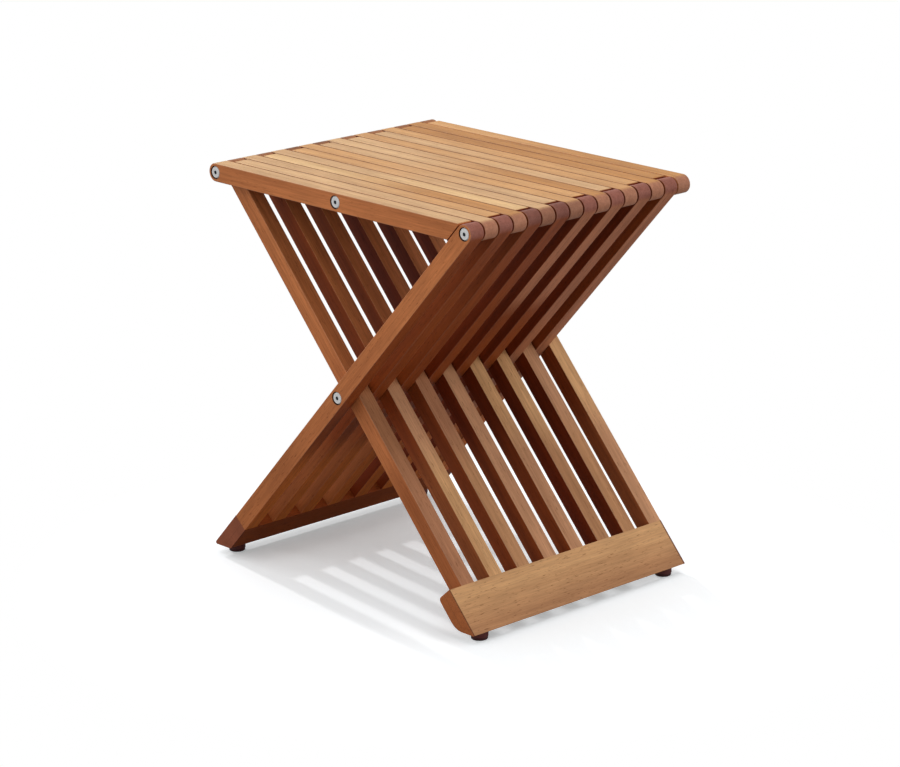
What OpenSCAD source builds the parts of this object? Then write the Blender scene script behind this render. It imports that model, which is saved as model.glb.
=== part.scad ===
// Folding stool of interleaved slats. Seat slats and leg slats alternate in layers from front to
// back and turn on four axles. The left and right axles join seat to legs, the seat axle joins the
// two seat sets at mid-span, and the crossing axle joins the two leg sets.
// X runs to the right, Y from front to back, Z up from the floor.

/* [Stool] */
// Distance between the left and right axles, centre to centre
axle_span = 388; // [340:1:430]
// Height of the left, right and seat axles above the floor
axle_height = 440; // [410:1:480]
// Height of the crossing axle above the floor
cross_height = 225.2; // [205:0.1:245]
// Layers of slats from front to back, an even number
layers = 16; // [8:2:20]

/* [Slats] */
// Width of a slat, seen from the front
slat_w = 20.5; // [18:0.1:25]
// Thickness of a slat, front to back
slat_t = 18.7; // [15:0.1:24]
// Space between neighbouring layers
slat_gap = 2; // [1.2:0.1:4]
// Radius on a seat slat's long edges
seat_edge = 1.2; // [0.4:0.1:3]
// Radius on a leg slat's long edges
leg_edge = 0.8; // [0.4:0.1:3]
// Radius on the corners of a seat slat's cut end
tip_r = 1.5; // [0.6:0.1:2.5]
// Space between a seat slat's cut end and the leg that stops it
seat_end_gap = 1.5; // [0.8:0.1:4]

/* [Foot rails] */
// Height of a rail's outer face, measured along the leg
rail_h = 56.5; // [50:0.5:75]
// Radius of the left rail's lower outer corner
left_toe = 2; // [0.3:0.1:4]
// Radius of the left rail's lower inner corner
left_heel = 4; // [0.5:0.5:26]
// Radius of the left rail's upper inner corner
left_shoulder = 0.5; // [0.3:0.1:6]
// Radius of the right rail's lower outer corner
right_toe = 0.5; // [0.3:0.1:4]
// Radius of the right rail's lower inner corner
right_heel = 22; // [0.5:0.5:26]
// Radius of the right rail's upper inner corner
right_shoulder = 4; // [0.3:0.1:6]
// How far a rail stops short of the layer that it doesn't carry
rail_setback = 2; // [0:0.5:6]

/* [Axles] */
// Diameter of an axle rod
axle_d = 8; // [6:0.5:9]
// Running clearance round an axle, on the radius
axle_play = 0.08; // [0.05:0.01:0.1]
// Diameter of a washer between two slats
washer_d = 14; // [11:0.5:17]
// Clearance on each side of a washer
washer_play = 0.05; // [0.02:0.01:0.1]
// Clearance between the lengths of the seat axle
seat_axle_play = 0.1; // [0.05:0.05:0.3]

/* [Screws] */
// Diameter of a screw head
head_d = 13; // [10:0.5:14]
// Height of a screw head
head_h = 2.4; // [1.6:0.1:4]
// Bevel round a screw head
head_bevel = 0.9; // [0.3:0.1:1.5]
// Depth of a screw head's top below the slat's face
head_sink = 0.4; // [0:0.1:1.5]
// Space round a screw head
head_ring = 0.8; // [0.4:0.1:1.5]
// Clearance under a screw head
head_play = 0.1; // [0.05:0.05:0.3]
// Diameter of a screw's shank
screw_d = 5; // [3:0.5:5]
// Length of a screw's shank
screw_l = 11; // [8:0.5:13]
// Clearance round a screw's shank, on the radius
screw_play = 0.05; // [0.02:0.01:0.1]
// Width of the hexagon socket across its flats
socket_af = 4; // [2.5:0.5:5]
// Depth of the hexagon socket
socket_depth = 1.7; // [1:0.1:2]

/* [Dowels] */
// Diameter of a dowel between a leg slat and its rail
dowel_d = 8; // [6:0.5:10]
// Length of a dowel
dowel_l = 34; // [24:1:40]
// Clearance round a dowel, on the radius
dowel_play = 0.05; // [0.02:0.01:0.1]
// Space left in a dowel hole at each end
dowel_end = 1; // [0.5:0.5:2]

/* [Feet] */
// Height of a foot, which is the rail's height above the floor
foot_h = 10.2; // [6:0.1:16]
// Diameter of a foot's pad
foot_d = 18; // [14:0.5:22]
// Height of a foot's pad
foot_pad_h = 3.6; // [2:0.1:5]
// Diameter of a foot's body above the pad
foot_body_d = 19; // [14:0.1:22]
// Radius of a foot's lower edge
foot_edge = 1.2; // [0.4:0.1:1.8]
// Distance from the rail's outer lower corner to a foot's centre
foot_in = 12.7; // [10:0.1:16]
// Distance from the front or back face of the stool to a foot's centre
foot_end = 22.4; // [14:0.1:60]
// Diameter of a foot's nail
nail_d = 2.5; // [1.5:0.1:3.5]
// Length of a foot's nail under its head
nail_l = 14; // [10:0.5:16]
// Diameter of a nail head
nail_head_d = 7; // [5:0.5:9]
// Height of a nail head
nail_head_h = 1.4; // [0.8:0.1:2]
// Depth of a nail head below the foot's underside
nail_sink = 1.6; // [0.8:0.1:2.5]
// Clearance round a nail, on the radius
nail_play = 0.05; // [0.02:0.01:0.1]
// Space round a nail head in the foot, on the radius
nail_head_play = 0.3; // [0.1:0.1:0.6]
// Depth left below a nail or a screw in its hole
hole_spare = 0.5; // [0.2:0.1:1]

/* [Hidden] */
$fn = 48;
// How far a cutting shape runs past what it cuts
past = 1;
pitch = slat_t + slat_gap;
stack_d = layers * pitch - slat_gap;
half_span = axle_span / 2;
// Angle of the legs from upright
lean = atan2(half_span, axle_height - cross_height);
// Distance along a leg from its top axle to the crossing axle
leg_cross = norm([half_span, axle_height - cross_height]);
// Distances along a leg to the rail's outer lower corner, its inner lower corner and its top
rail_low = (axle_height - foot_h + slat_w / 2 * sin(lean)) / cos(lean);
rail_low_in = rail_low - slat_w * tan(lean);
leg_end = rail_low - rail_h;
rail_l = stack_d - rail_setback;
// Distance from the middle of the stool to a rail's outer lower corner and to a foot's centre
rail_out = rail_low * sin(lean) - half_span + slat_w / 2 * cos(lean);
foot_x = rail_out - foot_in;
foot_y = stack_d / 2 - foot_end;
// Depth of a screw head's underside below the slat's face
head_seat = head_sink + head_h;
washer_t = slat_gap - 2 * washer_play;
rod_end = stack_d / 2 - head_seat;
// Height of a nail's tip above the floor
nail_top = nail_sink + nail_head_h + nail_l;

honey = "#c8935a";
amber = "#b87842";
rust = "#99592f";
walnut = "#7a4527";
steel = "#d9dadb";
nylon = "#3b2a22";
beech = "#d8b78a";
glide = "#42201c";
SEAT_TONES = [amber, honey, honey, amber];
LEG_TONES = [amber, rust, walnut, amber, walnut, rust];

function even(k) = k % 2 == 0;
function layer_y(k) = k * pitch - stack_d / 2;
function numbered(stem, k) = str(stem, k < 9 ? "0" : "", k + 1);
function seat_name(k) = numbered("seat_slat_", k);
function leg_name(k) = numbered("leg_slat_", k);
function unit(v) = v / norm(v);

// Placing

// Swaps left and right
module swapped(yes) {
    if (yes) mirror([1, 0, 0]) children();
    else children();
}

// Carries a piece from a leg's own frame, where X runs down the leg from its top axle and Z
// points to its inner face, to the set that hangs on the right axle
module on_leg() {
    translate([half_span, 0, axle_height]) rotate([0, 90 + lean, 0]) children();
}

// Turns a shape that stands along Z so that it runs back along Y from the given depth
module along_y(y) {
    translate([0, y, 0]) rotate([-90, 0, 0]) children();
}

// Carries the flat shape drawn in X and Z along Y, over a length from the given depth
module drawn_along_y(y, length) {
    translate([0, y + length, 0]) rotate([90, 0, 0]) linear_extrude(length) children();
}

// Shapes

// What an eased corner takes off: the corner at p between the edges to a and b, outside an arc
module eased(p, a, b, r) {
    to_a = unit(a - p);
    to_b = unit(b - p);
    half = acos(to_a * to_b) / 2;
    middle = unit(to_a + to_b);
    run = r / tan(half);
    difference() {
        polygon([p + to_a * run, p - middle * past, p + to_b * run]);
        translate(p + middle * r / sin(half)) circle(r);
    }
}

// A rectangle with eased corners, its left side on the Y axis and centred on the X axis
module eased_rectangle(w, h, r) {
    translate([r, -h / 2]) square([w - 2 * r, h]);
    translate([0, r - h / 2]) square([w, h - 2 * r]);
    for (x = [r, w - r]) {
        for (y = [r - h / 2, h / 2 - r]) translate([x, y]) circle(r);
    }
}

// Half of the same rectangle lying on its side, for turning round the Y axis
module half_section(edge) {
    intersection() {
        rotate(-90) mirror([1, 0]) eased_rectangle(slat_t, slat_w, edge);
        square([slat_w, slat_t]);
    }
}

// A slat from its axle at the origin along X, round at the axle
module slat(length, edge) {
    rotate([90, 0, 90]) linear_extrude(length) eased_rectangle(slat_t, slat_w, edge);
    along_y(0) rotate(90) rotate_extrude(angle = 180) half_section(edge);
}

// The hole for an axle through a slat, with the recess for a screw head on an outer layer
module axle_hole(x, k) {
    r = head_d / 2 + head_ring;
    depth = head_seat + head_play;
    translate([x, 0, 0]) {
        along_y(-past) cylinder(h = slat_t + 2 * past, r = axle_d / 2 + axle_play);
        if (k == 0) along_y(-past) cylinder(h = depth + past, r = r);
        if (k == layers - 1) along_y(slat_t - depth) cylinder(h = depth + past, r = r);
    }
}

// Slats

// Everything past the slanted end of a seat slat, drawn from the slat's own axle
module past_seat_end() {
    reach = 3 * slat_w;
    translate([axle_span, 0, 0]) rotate([0, lean, 0])
        translate([-slat_w / 2 - seat_end_gap, -past, -reach])
            cube([2 * reach, slat_t + 2 * past, 2 * reach]);
}

// Where the slanted end meets a height z above a seat slat's middle
function seat_end(z) = [axle_span - (slat_w / 2 + seat_end_gap - z * sin(lean)) / cos(lean), z];

module seat_end_easing() {
    top = seat_end(slat_w / 2);
    low = seat_end(-slat_w / 2);
    drawn_along_y(-past, slat_t + 2 * past) {
        eased(top, [0, top.y], low, tip_r);
        eased(low, [0, low.y], top, tip_r);
    }
}

module seat_slat(k) {
    color(SEAT_TONES[k % len(SEAT_TONES)])
    swapped(!even(k)) translate([-half_span, layer_y(k), axle_height]) difference() {
        slat(axle_span + slat_w, seat_edge);
        past_seat_end();
        seat_end_easing();
        axle_hole(0, k);
        axle_hole(half_span, k);
    }
}

module leg_slat(k) {
    color(LEG_TONES[k % len(LEG_TONES)])
    swapped(!even(k)) on_leg() translate([0, layer_y(k), 0]) difference() {
        slat(leg_end, leg_edge);
        axle_hole(0, k);
        axle_hole(leg_cross, k);
        translate([0, slat_t / 2, 0]) dowel_hole();
    }
}

// Dowels and rails

// The hole for a dowel, half in the leg slat and half in the rail
module dowel_hole() {
    length = dowel_l + 2 * dowel_end;
    translate([leg_end - length / 2, 0, 0]) rotate([0, 90, 0])
        cylinder(h = length, r = dowel_d / 2 + dowel_play);
}

// The middles of the leg slats that one rail carries, from front to back
function carried(right) = [for (k = [(right ? 1 : 0) : 2 : layers - 1]) layer_y(k) + slat_t / 2];

// A rail's section in a leg's own frame, with the radii of its eased corners
module rail_outline(toe, heel, shoulder) {
    w = slat_w / 2;
    top_out = [leg_end, -w];
    low_out = [rail_low, -w];
    low_in = [rail_low_in, w];
    top_in = [leg_end, w];
    difference() {
        polygon([top_out, low_out, low_in, top_in]);
        eased(low_out, low_in, top_out, toe);
        eased(low_in, top_in, low_out, heel);
        eased(top_in, top_out, low_in, shoulder);
    }
}

module foot_rail(right) {
    front = right ? rail_setback - stack_d / 2 : -stack_d / 2;
    color(honey) swapped(right) difference() {
        on_leg() difference() {
            drawn_along_y(front, rail_l) {
                if (right) rail_outline(right_toe, right_heel, right_shoulder);
                else rail_outline(left_toe, left_heel, left_shoulder);
            }
            for (y = carried(right)) translate([0, y, 0]) dowel_hole();
        }
        for (y = [-foot_y, foot_y]) translate([-foot_x, y, 0])
            cylinder(h = nail_top + hole_spare, r = nail_d / 2 + nail_play);
    }
}

module dowels(right) {
    color(beech) swapped(right) on_leg() for (y = carried(right))
        translate([leg_end - dowel_l / 2, y, 0]) rotate([0, 90, 0])
            cylinder(h = dowel_l, d = dowel_d);
}

// Feet

module foot(x, y) {
    pad_r = foot_d / 2;
    body_r = foot_body_d / 2;
    hole_r = nail_head_d / 2 + nail_head_play;
    color(glide) translate([x, y, 0]) difference() {
        union() {
            rotate_extrude() {
                square([pad_r - foot_edge, foot_pad_h]);
                translate([0, foot_edge]) square([pad_r, foot_pad_h - foot_edge]);
                translate([pad_r - foot_edge, foot_edge]) circle(foot_edge);
            }
            translate([0, 0, foot_pad_h]) cylinder(h = foot_h - foot_pad_h, r = body_r);
        }
        translate([0, 0, -past]) cylinder(h = foot_h + 2 * past, r = nail_d / 2 + nail_play);
        translate([0, 0, -past]) cylinder(h = nail_sink + nail_head_h + past, r = hole_r);
    }
}

// The two nails that hold one rail's feet
module foot_nails(right) {
    color(steel) swapped(right) for (y = [-foot_y, foot_y])
        translate([-foot_x, y, nail_sink]) {
            cylinder(h = nail_head_h, d = nail_head_d);
            cylinder(h = nail_head_h + nail_l, d = nail_d);
        }
}

// Axles

// A rod along Y between two depths, tapped at its front or back end for a screw
module rod(y0, y1, tap_front, tap_back) {
    tap_r = screw_d / 2 + screw_play;
    tap_l = screw_l + hole_spare;
    difference() {
        along_y(y0) cylinder(h = y1 - y0, d = axle_d);
        if (tap_front) along_y(y0 - past) cylinder(h = tap_l + past, r = tap_r);
        if (tap_back) along_y(y1 - tap_l) cylinder(h = tap_l + past, r = tap_r);
    }
}

module axle(x, z) {
    color(steel) translate([x, 0, z]) rod(-rod_end, rod_end, true, true);
}

// The lengths of the seat axle that turn with one seat set. Those of the left-hung set reach
// across the gaps, and the others lie within their slats.
module seat_axle(right) {
    across = slat_gap - seat_axle_play;
    color(steel) translate([0, 0, axle_height]) for (k = [(right ? 1 : 0) : 2 : layers - 1]) {
        y0 = layer_y(k) - (right ? 0 : across);
        y1 = layer_y(k) + slat_t + (right ? 0 : across);
        rod(max(y0, -rod_end), min(y1, rod_end), k == 0, k == layers - 1);
    }
}

// A cap screw whose shank points back along Y, its head's underside at the origin
module cap_screw() {
    r = head_d / 2;
    color(steel) difference() {
        union() {
            rotate([90, 0, 0]) rotate_extrude()
                polygon([[0, 0], [r, 0], [r, head_h - head_bevel], [r - head_bevel, head_h],
                         [0, head_h]]);
            along_y(0) cylinder(h = screw_l, d = screw_d);
        }
        along_y(-head_h - past) rotate(30)
            cylinder(h = socket_depth + past, d = socket_af / cos(30), $fn = 6);
    }
}

module front_screw(x, z) {
    translate([x, -rod_end, z]) cap_screw();
}

module back_screw(x, z) {
    mirror([0, 1, 0]) front_screw(x, z);
}

module screw_pair(x, z) {
    front_screw(x, z);
    back_screw(x, z);
}

// One washer in every gap along an axle
module washers(x, z) {
    color(nylon) translate([x, 0, z]) for (k = [1 : layers - 1])
        along_y(layer_y(k) - slat_gap + washer_play) difference() {
            cylinder(h = washer_t, d = washer_d);
            translate([0, 0, -past]) cylinder(h = washer_t + 2 * past, r = axle_d / 2 + axle_play);
        }
}

// The pieces

for (k = [0 : layers - 1]) {
    seat_slat(k);
    leg_slat(k);
}
foot_rail(false);  // foot_rail_left
foot_rail(true);  // foot_rail_right
foot(-foot_x, -foot_y);  // foot_front_left
foot(-foot_x, foot_y);  // foot_back_left
foot(foot_x, -foot_y);  // foot_front_right
foot(foot_x, foot_y);  // foot_back_right
foot_nails(false);  // foot_nails_left
foot_nails(true);  // foot_nails_right
dowels(false);  // dowels_left
dowels(true);  // dowels_right
axle(-half_span, axle_height);  // left_axle
axle(half_span, axle_height);  // right_axle
axle(0, cross_height);  // crossing_axle
seat_axle(false);  // seat_axle_left_set
seat_axle(true);  // seat_axle_right_set
screw_pair(-half_span, axle_height);  // left_axle_screws
screw_pair(half_span, axle_height);  // right_axle_screws
screw_pair(0, cross_height);  // crossing_axle_screws
front_screw(0, axle_height);  // seat_axle_front_screw
back_screw(0, axle_height);  // seat_axle_back_screw
washers(-half_span, axle_height);  // left_axle_washers
washers(half_span, axle_height);  // right_axle_washers
washers(0, cross_height);  // crossing_axle_washers
washers(0, axle_height);  // seat_axle_washers
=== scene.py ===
"""Dresses the folding stool: wood for its slats and rails, metal and plastic for its fittings,
and a pale studio round it. Every size is in metres, in the frame of the CAD model."""

from collections import namedtuple
from math import atan2, cos, hypot, pi, radians, sin

import bpy
import numpy as np
from bpy.props import FloatProperty, FloatVectorProperty, PointerProperty
from mathutils import Matrix, Vector


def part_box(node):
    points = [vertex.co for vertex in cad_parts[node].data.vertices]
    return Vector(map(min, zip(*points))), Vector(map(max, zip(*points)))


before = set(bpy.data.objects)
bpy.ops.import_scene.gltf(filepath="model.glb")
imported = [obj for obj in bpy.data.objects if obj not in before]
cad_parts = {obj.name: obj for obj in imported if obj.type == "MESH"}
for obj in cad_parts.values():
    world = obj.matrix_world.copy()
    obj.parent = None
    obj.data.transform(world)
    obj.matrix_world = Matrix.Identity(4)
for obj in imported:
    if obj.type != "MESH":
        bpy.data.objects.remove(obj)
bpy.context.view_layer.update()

bl_info = {
    "name": "Folding stool",
    "version": (1, 0, 0),
    "blender": (4, 5, 0),
    "location": "View3D > Sidebar > Stool",
    "description": "Materials and studio for a folding stool of interleaved slats",
    "category": "Object",
}

# Where the slats are

LAYERS = len([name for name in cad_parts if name.startswith("seat_slat_")])


def node_box(name):
    """Lowest and highest corner of a CAD node as two arrays."""
    low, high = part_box(name)
    return np.array(low), np.array(high)


SLAT_LOW, SLAT_HIGH = node_box("seat_slat_01")
SLAT_THICK = SLAT_HIGH[1] - SLAT_LOW[1]
SLAT_WIDE = SLAT_HIGH[2] - SLAT_LOW[2]
AXLE_X = -SLAT_LOW[0] - SLAT_WIDE / 2
AXLE_Z = (SLAT_LOW[2] + SLAT_HIGH[2]) / 2
CROSS_Z = float(np.mean([corner[2] for corner in node_box("crossing_axle")]))
LEAN = atan2(AXLE_X, AXLE_Z - CROSS_Z)
LEG_CROSS = hypot(AXLE_X, AXLE_Z - CROSS_Z)

# Settings


def tone(name, red, green, blue, words):
    """A colour setting."""
    return FloatVectorProperty(
        name=name, description=words, subtype="COLOR", size=3, min=0, max=1,
        default=(red, green, blue))


def amount(name, value, words, low=0.0, high=1.0):
    """A plain number setting."""
    return FloatProperty(name=name, description=words, default=value, min=low, max=high)


class StoolWood(bpy.types.PropertyGroup):
    """Colours and grain of the wood. Beside its real tones, many colours are darker or lighter copies
    of the same wood: painted shade and light on faces by how they lie.
    """

    cream: tone("Cream", 0.76, 0.48, 0.225, "Palest ends of seat slats")
    straw: tone("Straw", 0.68, 0.41, 0.200, "Pale tops of seat slats")
    honey: tone("Honey", 0.66, 0.345, 0.133, "Most tops of seat slats")
    caramel: tone("Caramel", 0.54, 0.244, 0.070, "Deepest tops of seat slats")
    # Painted shade: amber is a deeper, redder copy of the tops for front faces and for the legs'
    # upper faces under the seat
    amber: tone("Amber", 0.58, 0.195, 0.064, "Front faces")
    # Painted shade: cinnamon is a darker copy of amber on front faces near the floor
    cinnamon: tone("Cinnamon", 0.48, 0.155, 0.048, "Front faces near the floor")
    sand: tone("Sand", 0.68, 0.37, 0.165, "Palest outer faces of legs and the right rail")
    tan: tone("Tan", 0.56, 0.275, 0.140, "Most outer faces of legs")
    # Painted shade: clay is a darker copy of tan on the legs' outer faces near the floor; it is also
    # the right rail's lower colour
    clay: tone("Clay", 0.49, 0.235, 0.105, "Feet of the legs and the right rail's lower edge")
    rust: tone("Rust", 0.43, 0.185, 0.090, "Dark outer faces of legs")
    # Rose and plum: darker end grain, with a painted bluish sheen
    rose: tone("Rose", 0.47, 0.20, 0.115, "Right ends of seat slats")
    plum: tone("Plum", 0.33, 0.115, 0.080, "Right ends of leg slats")
    bark: tone("Bark", 0.36, 0.15, 0.065, "Left ends of the slats")
    # Ginger: end grain on the right rail; on the legs' sides near the floor it is painted shade
    ginger: tone("Ginger", 0.42, 0.125, 0.036, "Right rail's end grain and some sides near the floor")
    walnut: tone("Walnut", 0.29, 0.085, 0.040, "Left rail's end grain")
    # Painted shade: umber on the legs' undersides and sides where neighbouring legs shade them, and
    # on the rails' narrow faces
    umber: tone("Umber", 0.31, 0.065, 0.012, "Undersides of the front legs")
    # Painted light: copper is a lighter copy of umber on the legs' undersides near the floor
    copper: tone("Copper", 0.64, 0.165, 0.026, "Undersides of the legs near the floor")
    # Painted light: russet is a lighter copy of umber where light reaches the back legs' undersides
    russet: tone("Russet", 0.52, 0.19, 0.090, "Undersides of the back legs")
    # Painted shade: near-black for faces between the slats and legs, under the seat slats and inside
    # the rails
    cocoa: tone("Cocoa", 0.20, 0.028, 0.003, "Faces between the legs")
    streaks: amount("Streaks", 0.62, "Strength of the long streaks along the grain")
    pores: amount("Pores", 0.5, "Strength of the short dark pores")
    roughness: amount("Roughness", 0.52, "Roughness of the oiled surface")


class StoolFittings(bpy.types.PropertyGroup):
    """Colours of the metal and plastic pieces."""

    # Near-white: paints in the bright reflection of the white studio on the steel
    steel: tone("Steel", 0.95, 0.95, 0.94, "Cap screws, axles and nails")
    washer: tone("Washer", 0.035, 0.028, 0.024, "Washers between the slats")
    foot: tone("Foot", 0.090, 0.014, 0.011, "Feet")
    dowel: tone("Dowel", 0.62, 0.42, 0.24, "Dowels in the rails")


class StoolStage(bpy.types.PropertyGroup):
    """Camera, lamps and floor."""

    azimuth: FloatProperty(
        name="Azimuth", description="Angle of the camera round the stool from the front",
        subtype="ANGLE", default=radians(45.996))
    elevation: FloatProperty(
        name="Elevation", description="Angle of the camera above the horizon",
        subtype="ANGLE", default=radians(16.517))
    distance: FloatProperty(
        name="Distance", description="Distance of the camera", unit="LENGTH", default=3.71553)
    lens: FloatProperty(
        name="Lens", description="Focal length on a 36 mm sensor", unit="CAMERA",
        default=135.135)
    target: FloatVectorProperty(
        name="Target", description="Point that the camera looks at", subtype="TRANSLATION",
        default=(0.003414, 0.000106, 0.20867))
    ambient: amount("Ambient", 0.80, "Strength of the light from all round", 0, 2)
    floor: tone("Floor", 0.30, 0.30, 0.30, "Floor as the light finds it")
    white: tone("White floor", 0.94, 0.955, 0.975, "Floor as the camera sees it")
    lift: amount("Lift", 0.27, "Plain white that the camera sees on top of the floor")


# Node helpers


def put(tree, kind, where=(0, 0), **settings):
    """Adds a node and sets its properties."""
    made = tree.nodes.new(kind)
    made.location = where
    for key, value in settings.items():
        setattr(made, key, value)
    return made


def feed(tree, target, value):
    """Links a socket, or sets a plain value."""
    if isinstance(value, bpy.types.NodeSocket):
        tree.links.new(value, target)
    else:
        target.default_value = value


def maths(tree, operation, first, second=None, third=None, clamp=False):
    """One Math node."""
    made = put(tree, "ShaderNodeMath", operation=operation, use_clamp=clamp)
    for index, value in enumerate((first, second, third)):
        if value is not None:
            feed(tree, made.inputs[index], value)
    return made.outputs[0]


def mix(tree, factor, first, second, blend="MIX"):
    """Mixes two colours."""
    made = put(tree, "ShaderNodeMix", data_type="RGBA", blend_type=blend)
    feed(tree, made.inputs[0], factor)
    feed(tree, made.inputs[6], first)
    feed(tree, made.inputs[7], second)
    return made.outputs[2]


def span(tree, value, low, high, out_low=0.0, out_high=1.0):
    """Carries a value from one range to another, smoothly and clamped."""
    made = put(tree, "ShaderNodeMapRange", interpolation_type="SMOOTHSTEP")
    feed(tree, made.inputs["Value"], value)
    for name, number in (("From Min", low), ("From Max", high), ("To Min", out_low),
                         ("To Max", out_high)):
        feed(tree, made.inputs[name], number)
    return made.outputs["Result"]


def stretched_noise(tree, place, seed, sizes, detail=4.0, rough=0.55, distort=0.0):
    """Noise whose features have the given length, depth and width in metres."""
    mapping = put(tree, "ShaderNodeMapping")
    feed(tree, mapping.inputs["Vector"], place)
    mapping.inputs["Scale"].default_value = [1 / size for size in sizes]
    noise = put(tree, "ShaderNodeTexNoise", noise_dimensions="4D")
    feed(tree, noise.inputs["Vector"], mapping.outputs[0])
    feed(tree, noise.inputs["W"], seed)
    noise.inputs["Scale"].default_value = 1.0
    noise.inputs["Detail"].default_value = detail
    noise.inputs["Roughness"].default_value = rough
    noise.inputs["Distortion"].default_value = distort
    return noise.outputs["Fac"]


def new_group(name, inputs, outputs):
    """An empty shader node group with named sockets, given as (name, type, default)."""
    group = bpy.data.node_groups.new(name, "ShaderNodeTree")
    for label, kind, default in inputs:
        socket = group.interface.new_socket(label, in_out="INPUT", socket_type=kind)
        if default is not None:
            socket.default_value = default
    for label, kind in outputs:
        group.interface.new_socket(label, in_out="OUTPUT", socket_type=kind)
    return group, put(group, "NodeGroupInput"), put(group, "NodeGroupOutput", (1800, 0))


# Shared effects

# Length, depth and width of what the grain is made of
BANDS = (0.30, 0.013, 0.013)
STREAKS = (0.11, 0.0032, 0.0032)
FIBRES = (0.03, 0.0011, 0.0011)
PORES = (0.008, 0.0009, 0.0009)
PATCHES = (0.05, 0.02, 0.02)
# What a pore multiplies the wood's colour by
PORE_SHADE = (0.50, 0.42, 0.36, 1)


def grain_group():
    """Straight-grained hardwood. X runs along the grain. Long streaks set the tone between a
    pale and a deep colour, bands make one side of a piece darker, fine lines follow the fibres,
    and short thin pores darken and dent the surface."""
    number, colour = "NodeSocketFloat", "NodeSocketColor"
    group, given, result = new_group(
        "Wood grain",
        [("Vector", "NodeSocketVector", None), ("Seed", number, 0.0),
         ("Pale", colour, (0.6, 0.4, 0.2, 1)), ("Deep", colour, (0.3, 0.15, 0.07, 1)),
         ("Streaks", number, 0.5), ("Pores", number, 0.5)],
        [("Color", colour), ("Height", number), ("Pore", number)])
    place, seed = given.outputs["Vector"], given.outputs["Seed"]
    bands = stretched_noise(group, place, seed, BANDS, 2.0, 0.5, 0.3)
    streaks = stretched_noise(group, place, seed, STREAKS, 5.0, 0.6, 0.2)
    fibres = stretched_noise(group, place, seed, FIBRES, 3.0, 0.6)
    pores = stretched_noise(group, place, seed, PORES, 2.0, 0.5)
    patches = stretched_noise(group, place, seed, PATCHES, 2.0, 0.5)
    wide = span(group, bands, 0.30, 0.70)
    narrow = span(group, streaks, 0.28, 0.72)
    blend = maths(group, "MULTIPLY_ADD", narrow, 0.55, maths(group, "MULTIPLY", wide, 0.45))
    depth = maths(group, "MULTIPLY_ADD", maths(group, "SUBTRACT", blend, 0.5),
                  given.outputs["Streaks"], 0.5, clamp=True)
    body = mix(group, depth, given.outputs["Pale"], given.outputs["Deep"])
    fine = span(group, fibres, 0.2, 0.8, 0.84, 1.12)
    cloud = span(group, patches, 0.25, 0.75, 0.93, 1.07)
    lit = put(group, "ShaderNodeVectorMath", operation="SCALE")
    feed(group, lit.inputs[0], body)
    feed(group, lit.inputs["Scale"], maths(group, "MULTIPLY", fine, cloud))
    pore = maths(group, "MULTIPLY", span(group, pores, 0.60, 0.72), given.outputs["Pores"])
    dark = mix(group, 1.0, lit.outputs[0], PORE_SHADE, "MULTIPLY")
    feed(group, result.inputs["Color"], mix(group, pore, lit.outputs[0], dark))
    raised = maths(group, "MULTIPLY_ADD", fibres, 0.35, maths(group, "MULTIPLY", streaks, 0.25))
    feed(group, result.inputs["Height"], maths(group, "SUBTRACT", raised, pore))
    feed(group, result.inputs["Pore"], pore)
    return group


def bar_group():
    """Where a place lies on a bar that is round at its first axle. X runs along the bar from that
    axle, Y across its depth and Z to its upper face. With r the distance from the middle line,
    taken round the axle where X is below zero, Skin is 1 on the upper, lower and round faces,
    where r reaches the half width. Facing runs from 0 below to 1 above, End is 1 on the round
    end, Edge is 1 on the long edges and Recess is 1 inside the two holes."""
    number = "NodeSocketFloat"
    group, given, result = new_group(
        "Bar places",
        [("Vector", "NodeSocketVector", None), ("Half depth", number, 0.01),
         ("Half width", number, 0.01), ("Ease", number, 0.001), ("Second hole", number, 0.2),
         ("Hole radius", number, 0.0074)],
        [("Skin", number), ("Facing", number), ("End", number), ("Edge", number),
         ("Recess", number)])
    parts = put(group, "ShaderNodeSeparateXYZ")
    feed(group, parts.inputs[0], given.outputs["Vector"])
    along, high = parts.outputs["X"], parts.outputs["Z"]
    deep = maths(group, "ABSOLUTE", parts.outputs["Y"])
    wide, ease = given.outputs["Half width"], given.outputs["Ease"]

    def distance(first, second):
        """Length of a flat vector."""
        squares = maths(group, "MULTIPLY_ADD", first, first, maths(group, "MULTIPLY", second,
                                                                   second))
        return maths(group, "SQRT", squares)

    out = distance(maths(group, "MINIMUM", along, 0.0), high)
    inside = maths(group, "SUBTRACT", wide, out)
    skin = span(group, maths(group, "DIVIDE", inside, ease), 0.75, 0.15)
    feed(group, result.inputs["Skin"], skin)
    feed(group, result.inputs["Facing"], span(group, maths(group, "DIVIDE", high, wide), -0.9,
                                              0.9))
    feed(group, result.inputs["End"], span(group, maths(group, "DIVIDE", along, wide), 0.05,
                                           -0.65))
    corner = maths(group, "ADD", inside, maths(group, "SUBTRACT", given.outputs["Half depth"],
                                               deep))
    feed(group, result.inputs["Edge"], span(group, maths(group, "DIVIDE", corner, ease), 1.15,
                                            0.60))
    far = maths(group, "SUBTRACT", along, given.outputs["Second hole"])
    near = maths(group, "MINIMUM", distance(along, high), distance(far, high))
    radius = given.outputs["Hole radius"]
    feed(group, result.inputs["Recess"], span(group, maths(group, "DIVIDE", near, radius), 1.02,
                                              0.98))
    return group


def shared(name, make):
    """A node group, made once."""
    return bpy.data.node_groups.get(name) or make()


def use_group(tree, group, **values):
    """Places a node group in a material."""
    made = put(tree, "ShaderNodeGroup", node_tree=group)
    for key, value in values.items():
        feed(tree, made.inputs[key.replace("_", " ")], value)
    return made


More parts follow.
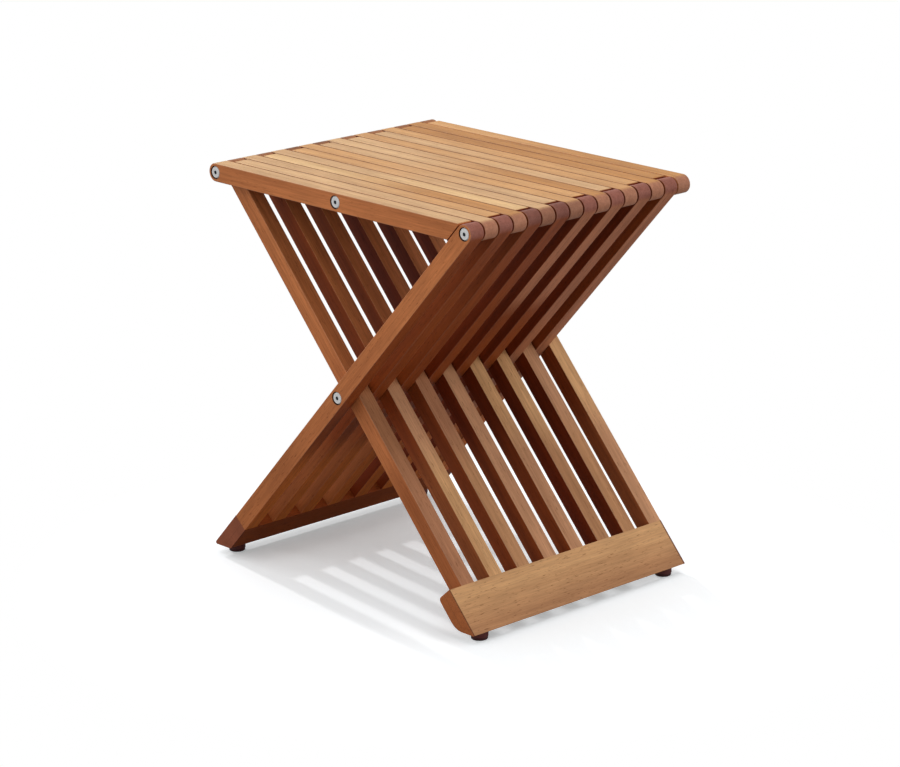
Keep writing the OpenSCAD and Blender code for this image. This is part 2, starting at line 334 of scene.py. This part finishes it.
def new_material(name):
    """An empty material with its shader."""
    material = bpy.data.materials.new(name)
    material.use_nodes = True
    tree = material.node_tree
    tree.nodes.clear()
    shader = put(tree, "ShaderNodeBsdfPrincipled", (600, 0))
    output = put(tree, "ShaderNodeOutputMaterial", (900, 0))
    tree.links.new(shader.outputs[0], output.inputs[0])
    return material, tree, shader


def roughen(tree, shader, height, strength, distance):
    """Lets a height raise and dent a surface."""
    bump = put(tree, "ShaderNodeBump")
    bump.inputs["Strength"].default_value = strength
    bump.inputs["Distance"].default_value = distance
    feed(tree, bump.inputs["Height"], height)
    feed(tree, shader.inputs["Normal"], bump.outputs[0])


def opaque(colour):
    """A colour with full alpha."""
    return (*colour, 1.0)


def scaled(colour, factor):
    """A colour made darker or lighter."""
    return tuple(min(1.0, part * factor) for part in colour)


def dress(name, material):
    """Gives a CAD node one material."""
    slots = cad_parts[name].material_slots
    if not slots:
        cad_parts[name].data.materials.append(material)
    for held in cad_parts[name].material_slots:
        held.material = material


# Materials

# A bar's half depth and half width, the ease of its edges, the distance from its first hole to
# its second one and the radius of the recesses round both
Bar = namedtuple("Bar", "half_depth half_width ease second_hole hole_radius")
# A rail's length, the height over which its outer face changes from its lower colour, and that
# colour
Rail = namedtuple("Rail", "length fade lower")
# Colours of the painted highlight on the long edges, of the painted shade in the recesses round the
# screw heads and of a rail's arrises
EDGE_HIGHLIGHT = (0.80, 0.52, 0.36)
RECESS_SHADE = (0.085, 0.034, 0.018)
ARRIS = (0.13, 0.025, 0.005)
# How far a rail's arris reaches from its end, and how thin its end face is
ARRIS_REACH = (0.0024, 0.0012)
END_REACH = (0.0003, 0.0001)
SHINE = 0.18
# A screw head: radii between which its dish and its socket start, depth at which the socket starts,
# and the colours of the painted shade in the dish and in the socket
DISH_RADII = (0.0047, 0.0042)
SOCKET_RADII = (0.0025, 0.0021)
SOCKET_DEPTHS = (0.00005, 0.0003)
DISH_SHADE = (0.30, 0.31, 0.33)
SOCKET_SHADE = (0.060, 0.066, 0.072)
# What the pad of a foot multiplies its colour by
PAD_SHADE = (0.50, 0.45, 0.50, 1)


def local_place(tree, origin, along, up):
    """Object coordinates carried to a frame with X along the grain and Z up from the face."""
    along, up = Vector(along), Vector(up)
    turn = Matrix((along, up.cross(along), up))
    mapping = put(tree, "ShaderNodeMapping")
    feed(tree, mapping.inputs["Vector"], put(tree, "ShaderNodeTexCoord").outputs["Object"])
    mapping.inputs["Rotation"].default_value = turn.to_euler()
    mapping.inputs["Location"].default_value = -(turn @ Vector(origin))
    return mapping.outputs[0]


def wood(name, settings, frame_of, tones, seed, bar, contrast, pores, changes=(), rail=None):
    """Oiled hardwood for one bar. frame_of holds its origin, the direction of its grain and the
    normal of its upper face, and tones its upper, side, lower and end colours; on the slats and rails
    the side and lower colours are painted shade, darker copies of the same wood. contrast is how far
    the grain's pale and deep tones lie from them, and pores how strong its pores are. Each of the
    changes holds where along the grain it starts and ends, and the upper, side and lower colours that
    follow; on the legs they are partly real tone and partly painted shade and light. Its long edges
    get a painted highlight and the recesses round its holes painted shade."""
    material, tree, shader = new_material(name)
    local = local_place(tree, *frame_of)
    places = use_group(
        tree, shared("Bar places", bar_group), Vector=local, Half_depth=bar.half_depth,
        Half_width=bar.half_width, Ease=bar.ease, Second_hole=bar.second_hole,
        Hole_radius=bar.hole_radius)
    upper, side, lower, end = [opaque(colour) for colour in tones]
    parts = put(tree, "ShaderNodeSeparateXYZ")
    feed(tree, parts.inputs[0], local)
    for start, stop, following in changes:
        passed = span(tree, parts.outputs["X"], start, stop)
        upper, side, lower = [mix(tree, passed, before, opaque(after))
                              for before, after in zip((upper, side, lower), following)]
    if rail:
        raised = span(tree, parts.outputs["Y"], 0.0, rail.fade)
        upper = mix(tree, raised, opaque(rail.lower), upper)
    faces = mix(tree, places.outputs["Facing"], lower, upper)
    if not rail:
        faces = mix(tree, places.outputs["End"], faces, end)
    tint = mix(tree, places.outputs["Skin"], side, faces)
    if rail:
        middle = maths(tree, "SUBTRACT", parts.outputs["X"], rail.length / 2)
        from_end = maths(tree, "SUBTRACT", rail.length / 2, maths(tree, "ABSOLUTE", middle))
        arris = maths(tree, "MULTIPLY", span(tree, from_end, *ARRIS_REACH), 0.90)
        tint = mix(tree, arris, tint, opaque(ARRIS))
        tint = mix(tree, span(tree, from_end, *END_REACH), tint, end)
    lighter = (1 + 0.8 * contrast, 1 + contrast, 1 + 1.1 * contrast)
    darker = (1 - contrast, 1 - 1.25 * contrast, 1 - 1.4 * contrast)
    grain = use_group(
        tree, shared("Wood grain", grain_group), Vector=local, Seed=seed,
        Pale=mix(tree, 1.0, tint, opaque(lighter), "MULTIPLY"),
        Deep=mix(tree, 1.0, tint, opaque(darker), "MULTIPLY"),
        Streaks=settings.streaks, Pores=pores)
    # A painted highlight along the long edges, then painted shade in the recesses round the holes
    highlighted = mix(tree, maths(tree, "MULTIPLY", places.outputs["Edge"], 0.10),
                   grain.outputs["Color"], opaque(EDGE_HIGHLIGHT))
    recess_shaded = mix(tree, places.outputs["Recess"], highlighted, opaque(RECESS_SHADE))
    feed(tree, shader.inputs["Base Color"], recess_shaded)
    rough = maths(tree, "MULTIPLY_ADD", grain.outputs["Pore"], 0.15,
                  span(tree, grain.outputs["Height"], 0.0, 0.5, settings.roughness + 0.06,
                       settings.roughness - 0.06))
    feed(tree, shader.inputs["Roughness"], rough)
    shader.inputs["Specular IOR Level"].default_value = SHINE
    roughen(tree, shader, grain.outputs["Height"], 0.25, 0.00025)
    return material


def metal(name, colour, place_of=None):
    """Steel with fine turning marks and faint clouding; its near-white colour paints in the bright
    reflection of the white studio. For screws, place_of holds the X and Z of their axis and the depth
    of their faces, and painted shade darkens their dishes a little and their sockets much."""
    material, tree, shader = new_material(name)
    place = put(tree, "ShaderNodeTexCoord").outputs["Object"]
    marks = stretched_noise(tree, place, 1.0, (0.0004, 0.004, 0.0004), 3.0)
    cloud = stretched_noise(tree, place, 2.0, (0.005, 0.005, 0.005), 2.0)
    bright = mix(tree, span(tree, cloud, 0.3, 0.7), opaque(scaled(colour, 0.90)), opaque(colour))
    if place_of:
        axis_x, axis_z, face = place_of
        parts = put(tree, "ShaderNodeSeparateXYZ")
        feed(tree, parts.inputs[0], place)
        right = maths(tree, "SUBTRACT", parts.outputs["X"], axis_x)
        high = maths(tree, "SUBTRACT", parts.outputs["Z"], axis_z)
        radius = maths(tree, "SQRT", maths(tree, "MULTIPLY_ADD", right, right,
                                           maths(tree, "MULTIPLY", high, high)))
        behind = maths(tree, "SUBTRACT", face, maths(tree, "ABSOLUTE", parts.outputs["Y"]))
        # Painted shade: a little in the dish, much in the socket
        dish = span(tree, radius, *DISH_RADII, 0.0, 0.10)
        bright = mix(tree, dish, bright, opaque(DISH_SHADE))
        socket = maths(tree, "MULTIPLY", span(tree, radius, *SOCKET_RADII),
                       span(tree, behind, *SOCKET_DEPTHS))
        bright = mix(tree, socket, bright, opaque(SOCKET_SHADE))
    feed(tree, shader.inputs["Base Color"], bright)
    feed(tree, shader.inputs["Roughness"], span(tree, marks, 0.2, 0.8, 0.26, 0.40))
    shader.inputs["Metallic"].default_value = 0.25
    roughen(tree, shader, marks, 0.15, 0.0001)
    return material


def plastic(name, colour, roughness, pad_height=None):
    """Moulded plastic with a fine eggshell surface and slight scuffs, darker below the height
    of a pad on the floor."""
    material, tree, shader = new_material(name)
    place = put(tree, "ShaderNodeTexCoord").outputs["Object"]
    shell = stretched_noise(tree, place, 1.0, (0.0006, 0.0006, 0.0006), 3.0)
    scuffs = stretched_noise(tree, place, 5.0, (0.006, 0.006, 0.0015), 4.0, 0.65)
    worn = mix(tree, span(tree, scuffs, 0.45, 0.75), opaque(colour), opaque(scaled(colour, 1.7)))
    if pad_height:
        parts = put(tree, "ShaderNodeSeparateXYZ")
        feed(tree, parts.inputs[0], place)
        low = span(tree, parts.outputs["Z"], pad_height + 0.0001, pad_height - 0.0001)
        worn = mix(tree, low, worn, mix(tree, 1.0, worn, PAD_SHADE, "MULTIPLY"))
    feed(tree, shader.inputs["Base Color"], worn)
    feed(tree, shader.inputs["Roughness"],
         span(tree, scuffs, 0.35, 0.75, roughness, roughness + 0.2))
    roughen(tree, shader, shell, 0.2, 0.0001)
    return material


# The tone of each slat's upper face near its axle and near its far end, front layer first
SEAT_TONES = (("straw", "straw"), ("straw", "straw"), ("straw", "honey"), ("caramel", "cream"),
              ("straw", "cream"), ("straw", "honey"), ("honey", "straw"), ("honey", "straw"),
              ("straw", "honey"), ("caramel", "straw"), ("honey", "straw"), ("honey", "straw"),
              ("honey", "honey"), ("caramel", "caramel"), ("caramel", "caramel"),
              ("caramel", "honey"))
# The tone of each leg slat's upper face below the crossing and near the floor; clay near the floor is
# painted shade
OUTER_TONES = (("tan", "tan"), ("bark", "rust"), ("tan", "tan"), ("tan", "sand"),
               ("tan", "tan"), ("rust", "clay"), ("tan", "tan"), ("tan", "tan"),
               ("tan", "tan"), ("sand", "tan"), ("tan", "tan"), ("sand", "clay"),
               ("tan", "tan"), ("tan", "clay"), ("tan", "tan"), ("sand", "tan"))
# The tone of each leg slat's sides near the floor: painted shade, darkest in the middle of the stack
# of legs
SIDE_TONES = ("cinnamon", "ginger", "ginger", "ginger", "ginger", "umber", "ginger", "umber",
              "cocoa", "umber", "cocoa", "cocoa", "cocoa", "cocoa", "ginger", "ginger")
# Where a seat slat turns to its second tone, and a leg slat to the tones of its middle, of what
# follows the crossing and of its foot; on some legs the middle's lower face takes the painted shadow
# of the neighbouring legs
SEAT_CHANGE = (0.10, 0.30)
MIDDLE_CHANGE = (0.14, 0.19)
CROSS_CHANGE = (0.25, 0.31)
FOOT_CHANGE = (0.35, 0.43)
# Layers whose round ends are darker than the rest, and by how much
DARK_ENDS = (4, 5, 6, 7)
DARK_END = 0.75
# How far the foot rails change from their lower colour, and the left one's lower colour
RAIL_FADE = 0.050
RAIL_LOWER = 0.78
# Edge radii of seat slats, leg slats and rails
SEAT_EASE, LEG_EASE, RAIL_EASE = 0.0012, 0.0008, 0.0006
# Radius of the recesses round the screw heads, and a second hole and radius for a plain piece
HOLE = 0.0074
PLAIN = (-1.0, 0.0001)
# Height of the dark pad under each foot
FOOT_PAD = 0.0036


def slat_place(name, layer, leg):
    """The slat's axle at mid-depth, the direction of its grain and the normal of its upper face.
    Seat slats hang on the left axle in even layers and on the right one in odd layers, and leg
    slats the other way."""
    low, high = node_box(name)
    side = 1 if (layer % 2 == 0) != leg else -1
    origin = (-side * AXLE_X, (low[1] + high[1]) / 2, AXLE_Z)
    if leg:
        return origin, (side * sin(LEAN), 0, -cos(LEAN)), (side * cos(LEAN), 0, sin(LEAN))
    return origin, (side, 0, 0), (0, 0, 1)


# Operators


class STOOL_OT_seat_slats(bpy.types.Operator):
    """Give each seat slat its own piece of wood"""

    bl_idname = "stool.seat_slats"
    bl_label = "Seat slats"

    def execute(self, context):
        settings = context.scene.stool_wood
        for layer in range(LAYERS):
            name = f"seat_slat_{layer + 1:02d}"
            near, far = [getattr(settings, key) for key in SEAT_TONES[layer]]
            end = settings.rose if layer % 2 else settings.bark
            # Painted shade: cocoa on the sides hidden between slats and on the undersides, amber on
            # the two outer sides
            side = settings.amber if layer in (0, LAYERS - 1) else settings.cocoa
            if layer in DARK_ENDS:
                end = scaled(end, DARK_END)
            dress(name, wood(
                f"Seat wood {layer + 1}", settings, slat_place(name, layer, False),
                (near, side, settings.cocoa, end), layer * 3.7,
                Bar(SLAT_THICK / 2, SLAT_WIDE / 2, SEAT_EASE, AXLE_X, HOLE), 0.32,
                settings.pores, changes=[(*SEAT_CHANGE, (far, side, settings.cocoa))]))
        return {"FINISHED"}


class STOOL_OT_leg_slats(bpy.types.Operator):
    """Give each leg slat its own piece of wood"""

    bl_idname = "stool.leg_slats"
    bl_label = "Leg slats"

    def execute(self, context):
        settings = context.scene.stool_wood
        for layer in range(LAYERS):
            name = f"leg_slat_{layer + 1:02d}"
            near, far = [getattr(settings, key) for key in OUTER_TONES[layer]]
            # Painted shade and light: sides darken from amber to umber and cocoa deeper in the stack;
            # undersides are cocoa, umber or russet by how much light reaches them, with copper near
            # the floor
            side = (settings.amber if layer < 2 else
                    settings.umber if layer < 6 or layer > LAYERS - 3 else settings.cocoa)
            under = middle = foot = settings.cocoa
            if layer % 2 == 0:
                under = settings.umber if layer < 8 else settings.russet
                middle = settings.umber if layer < 12 else settings.russet
                foot = settings.copper
            end = settings.bark if layer % 2 else settings.plum
            if layer in DARK_ENDS:
                end = scaled(end, DARK_END)
            dress(name, wood(
                f"Leg wood {layer + 1}", settings, slat_place(name, layer, True),
                (settings.amber, side, under, end), 50 + layer * 2.9,
                Bar(SLAT_THICK / 2, SLAT_WIDE / 2, LEG_EASE, LEG_CROSS, HOLE), 0.36, 0.8,
                changes=[(*MIDDLE_CHANGE, (settings.amber, side, middle)),
                         (*CROSS_CHANGE, (near, side, middle)),
                         (*FOOT_CHANGE, (far, getattr(settings, SIDE_TONES[layer]), foot))]))
        return {"FINISHED"}


class STOOL_OT_foot_rails(bpy.types.Operator):
    """Give the two foot rails wood with its grain from front to back"""

    bl_idname = "stool.foot_rails"
    bl_label = "Foot rails"

    def execute(self, context):
        settings = context.scene.stool_wood
        for index, (name, side) in enumerate((("foot_rail_left", -1), ("foot_rail_right", 1))):
            low, high = node_box(name)
            # The front end of the outer lower corner, half a slat's width in from the outer face
            up = (side * cos(LEAN), 0, sin(LEAN))
            origin = Vector((high[0] if side > 0 else low[0], low[1], low[2]))
            origin -= Vector(up) * SLAT_WIDE / 2
            outer = settings.sand if side > 0 else settings.tan
            end = settings.ginger if side > 0 else settings.walnut
            dress(name, wood(
                f"Rail wood {index + 1}", settings, (origin, (0, 1, 0), up),
                # Painted shade: umber on the rail's narrow faces and cocoa on its inner face
                (outer, settings.umber, settings.cocoa, end), 90 + index * 7.3,
                Bar(1.0, SLAT_WIDE / 2, RAIL_EASE, *PLAIN), 0.20, 1.0,
                rail=Rail(high[1] - low[1], RAIL_FADE,
                          settings.clay if side > 0 else scaled(outer, RAIL_LOWER))))
        return {"FINISHED"}


class STOOL_OT_fittings(bpy.types.Operator):
    """Give the axles, screws, washers, dowels, nails and feet their materials"""

    bl_idname = "stool.fittings"
    bl_label = "Fittings"

    def execute(self, context):
        settings = context.scene.stool_fittings
        steel = metal("Bright steel", settings.steel)
        washer = plastic("Washer plastic", settings.washer, 0.55)
        foot = plastic("Foot plastic", settings.foot, 0.35, FOOT_PAD)
        wood_settings = context.scene.stool_wood
        dowel = wood(
            "Dowel wood", wood_settings, ((0, 0, 0), (0, 0, 1), (1, 0, 0)),
            [settings.dowel] * 4, 130.0, Bar(1.0, 1.0, 0.001, *PLAIN), 0.30,
            wood_settings.pores)
        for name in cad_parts:
            if name.endswith("washers"):
                dress(name, washer)
            elif "screw" in name:
                low, high = node_box(name)
                face = max(abs(low[1]), abs(high[1]))
                centre = ((low[0] + high[0]) / 2, (low[2] + high[2]) / 2, face)
                dress(name, metal(f"Steel of {name}", settings.steel, centre))
            elif "axle" in name or "nails" in name:
                dress(name, steel)
            elif name.startswith("dowels"):
                dress(name, dowel)
            elif name.startswith("foot_") and "rail" not in name:
                dress(name, foot)
        return {"FINISHED"}


# Name, direction, share and width in degrees of each lamp. The key lamp lays the stripes of
# shadow on the floor
LAMPS = (("Key lamp", (-1.75, 0.369, 1.0), 0.34, 2.5),
         ("Top lamp", (0.1, 0.2, 1.0), 0.16, 60),
         ("Front lamp", (-0.45, -1.0, 0.45), 0.18, 50),
         ("Right lamp", (1.0, 0.55, 0.10), 0.22, 40))
FLOOR_RADIUS = 30.0
# Just under the feet
FLOOR_HEIGHT = -0.00005
# Colour of the white on top of the floor, and where the floor starts and ends its fade to white
LIFT_COLOUR = (0.94, 1.0, 1.0)
FADE_CENTRE = (0.05, -0.02, 0.0)
FADE_REACH = (0.33, 0.50)


def sun(name, towards, share, angle):
    """A distant lamp in the given direction, wide by the given angle. share is the brightness
    that it gives a white surface that faces it."""
    data = bpy.data.lights.new(name, "SUN")
    data.energy = share * pi
    data.angle = angle
    lamp = bpy.data.objects.new(name, data)
    lamp.rotation_euler = (-Vector(towards)).to_track_quat("-Z", "Y").to_euler()
    bpy.context.collection.objects.link(lamp)


def floor_mesh(radius, rings, turns):
    """A flat disc: points at equal steps of angle on rings whose radius grows with the square
    of their number, all at the height of the floor."""
    r = radius * (np.arange(1, rings + 1) / rings) ** 2
    angle = np.arange(turns) * 2 * pi / turns
    x = np.outer(r, np.cos(angle)).ravel()
    y = np.outer(r, np.sin(angle)).ravel()
    points = np.column_stack([x, y, np.full(x.size, FLOOR_HEIGHT)])
    points = np.vstack([[0.0, 0.0, FLOOR_HEIGHT], points])
    first = np.arange(turns)
    after = (first + 1) % turns
    fan = np.column_stack([np.zeros(turns, int), first + 1, after + 1]).tolist()
    ring = np.arange(rings - 1)[:, None] * turns + 1
    quads = np.stack([ring + first, ring + turns + first, ring + turns + after, ring + after],
                     axis=-1).reshape(-1, 4).tolist()
    mesh = bpy.data.meshes.new("Floor")
    mesh.from_pydata(points.tolist(), [], fan + quads)
    return mesh


def floor_paint(settings):
    """Pale paint. The camera sees it white with the stool's shadow on it, and away from the
    stool it fades to plain white."""
    material, tree, shader = new_material("Floor paint")
    shader.inputs["Roughness"].default_value = 0.9
    shader.inputs["Specular IOR Level"].default_value = 0.0
    seen = put(tree, "ShaderNodeLightPath").outputs["Is Camera Ray"]
    feed(tree, shader.inputs["Base Color"],
         mix(tree, seen, opaque(settings.floor), opaque(settings.white)))
    shader.inputs["Emission Color"].default_value = opaque(LIFT_COLOUR)
    feed(tree, shader.inputs["Emission Strength"], maths(tree, "MULTIPLY", seen, settings.lift))
    reach = put(tree, "ShaderNodeVectorMath", operation="DISTANCE")
    feed(tree, reach.inputs[0], put(tree, "ShaderNodeTexCoord").outputs["Object"])
    reach.inputs[1].default_value = FADE_CENTRE
    fade = span(tree, reach.outputs["Value"], *FADE_REACH)
    glow = put(tree, "ShaderNodeEmission")
    either = put(tree, "ShaderNodeMixShader")
    feed(tree, either.inputs[0], maths(tree, "MULTIPLY", fade, seen))
    feed(tree, either.inputs[1], shader.outputs[0])
    feed(tree, either.inputs[2], glow.outputs[0])
    output = next(node for node in tree.nodes if node.type == "OUTPUT_MATERIAL")
    feed(tree, output.inputs[0], either.outputs[0])
    return material


def surroundings(settings):
    """A world that lights the stool softly from all round and that the camera sees as white."""
    world = bpy.data.worlds.new("Surroundings")
    world.use_nodes = True
    tree = world.node_tree
    tree.nodes.clear()
    soft = put(tree, "ShaderNodeBackground")
    soft.inputs["Strength"].default_value = settings.ambient
    white = put(tree, "ShaderNodeBackground")
    rays = put(tree, "ShaderNodeLightPath")
    either = put(tree, "ShaderNodeMixShader")
    feed(tree, either.inputs[0], rays.outputs["Is Camera Ray"])
    feed(tree, either.inputs[1], soft.outputs[0])
    feed(tree, either.inputs[2], white.outputs[0])
    output = put(tree, "ShaderNodeOutputWorld")
    feed(tree, output.inputs[0], either.outputs[0])
    return world


def photo_camera(settings):
    """The camera at the photo's viewing angle."""
    data = bpy.data.cameras.new("Camera")
    data.sensor_width = 36.0
    data.lens = settings.lens
    data.clip_start = 0.1
    data.clip_end = 100.0
    camera = bpy.data.objects.new("Camera", data)
    turn, rise = settings.azimuth, settings.elevation
    back = Vector((sin(turn) * cos(rise), -cos(turn) * cos(rise), sin(rise)))
    camera.location = Vector(settings.target) + back * settings.distance
    camera.rotation_euler = (pi / 2 - rise, 0.0, turn)
    return camera


class STOOL_OT_stage(bpy.types.Operator):
    """Make the floor, the surroundings, the lamps and the camera"""

    bl_idname = "stool.stage"
    bl_label = "Stage"

    def execute(self, context):
        settings = context.scene.stool_stage
        floor = bpy.data.objects.new("Floor", floor_mesh(FLOOR_RADIUS, 12, 48))
        context.collection.objects.link(floor)
        floor.data.materials.append(floor_paint(settings))
        context.scene.world = surroundings(settings)
        for name, towards, share, angle in LAMPS:
            sun(name, towards, share, radians(angle))
        camera = photo_camera(settings)
        context.collection.objects.link(camera)
        context.scene.camera = camera
        context.scene.view_settings.view_transform = "Standard"
        return {"FINISHED"}


class STOOL_PT_panel(bpy.types.Panel):
    """The stool's settings and the steps that use them"""

    bl_label = "Folding stool"
    bl_space_type = "VIEW_3D"
    bl_region_type = "UI"
    bl_category = "Stool"

    def draw(self, context):
        for held in (context.scene.stool_wood, context.scene.stool_fittings,
                     context.scene.stool_stage):
            box = self.layout.box()
            for key in held.__annotations__:
                box.prop(held, key)
        for operator in OPERATORS:
            self.layout.operator(operator.bl_idname)


SETTINGS = {"stool_wood": StoolWood, "stool_fittings": StoolFittings,
            "stool_stage": StoolStage}
OPERATORS = (STOOL_OT_seat_slats, STOOL_OT_leg_slats, STOOL_OT_foot_rails, STOOL_OT_fittings,
             STOOL_OT_stage)
CLASSES = (*SETTINGS.values(), *OPERATORS, STOOL_PT_panel)


def register():
    for made in CLASSES:
        bpy.utils.register_class(made)
    for name, group in SETTINGS.items():
        setattr(bpy.types.Scene, name, PointerProperty(type=group))


def unregister():
    for name in SETTINGS:
        delattr(bpy.types.Scene, name)
    for made in reversed(CLASSES):
        bpy.utils.unregister_class(made)


def main():
    register()
    bpy.ops.stool.seat_slats()
    bpy.ops.stool.leg_slats()
    bpy.ops.stool.foot_rails()
    bpy.ops.stool.fittings()
    bpy.ops.stool.stage()


if __name__ == "__main__":
    main()
